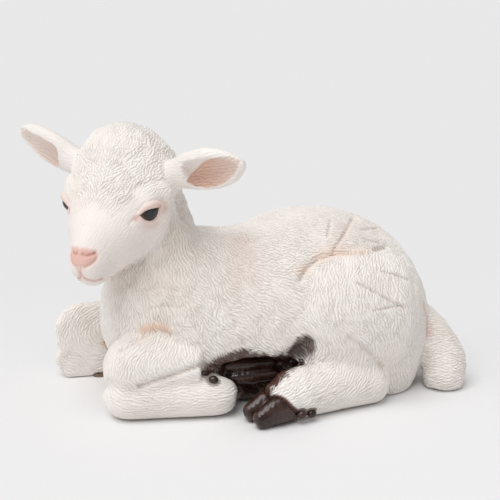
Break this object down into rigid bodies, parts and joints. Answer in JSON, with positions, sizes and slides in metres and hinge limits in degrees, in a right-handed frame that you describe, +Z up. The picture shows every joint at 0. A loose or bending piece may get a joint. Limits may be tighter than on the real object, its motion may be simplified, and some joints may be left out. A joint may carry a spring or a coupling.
{
  "type": "sheep figurine",
  "caption": "Reclining lamb ornament in hand-painted cast resin with carved wool, glass eyes and dark cloven hooves, resting on felt pads.",
  "frame": {"origin": "on the table under the middle of the figure's outline", "axes": "+X along the body from the chest towards the tail, +Y towards the lamb's right side, +Z up"},
  "size_m": [0.2634, 0.1346, 0.1644],
  "materials": {
    "painted_wool": "matt ivory paint over carved wool, washed pink in the folds",
    "painted_hoof": "dark brown gloss paint",
    "eye_glass": "polished dark eye dome",
    "base_resin": "bare cast resin, ground flat",
    "felt": "brown wool felt",
    "dowel_wood": "plain beech",
    "pin_steel": "drawn wire"
  },
  "bodies": {
    "root": {"torso": "painted_wool", "head": "painted_wool", "left_ear": "painted_wool", "right_ear": "painted_wool", "left_foreleg": "painted_wool", "right_foreleg": "painted_wool", "left_hind_leg": "painted_wool", "right_hind_leg": "painted_wool", "tail": "painted_wool", "left_fore_hoof": "painted_hoof", "right_fore_hoof": "painted_hoof", "left_hind_hoof": "painted_hoof", "right_hind_hoof": "painted_hoof", "dewclaws": "painted_hoof", "left_eye": "eye_glass", "right_eye": "eye_glass", "base_plate": "base_resin", "felt_pads": "felt", "leg_dowels": "dowel_wood", "ear_pins": "pin_steel", "tail_pin": "pin_steel"}
  },
  "joints": []
}
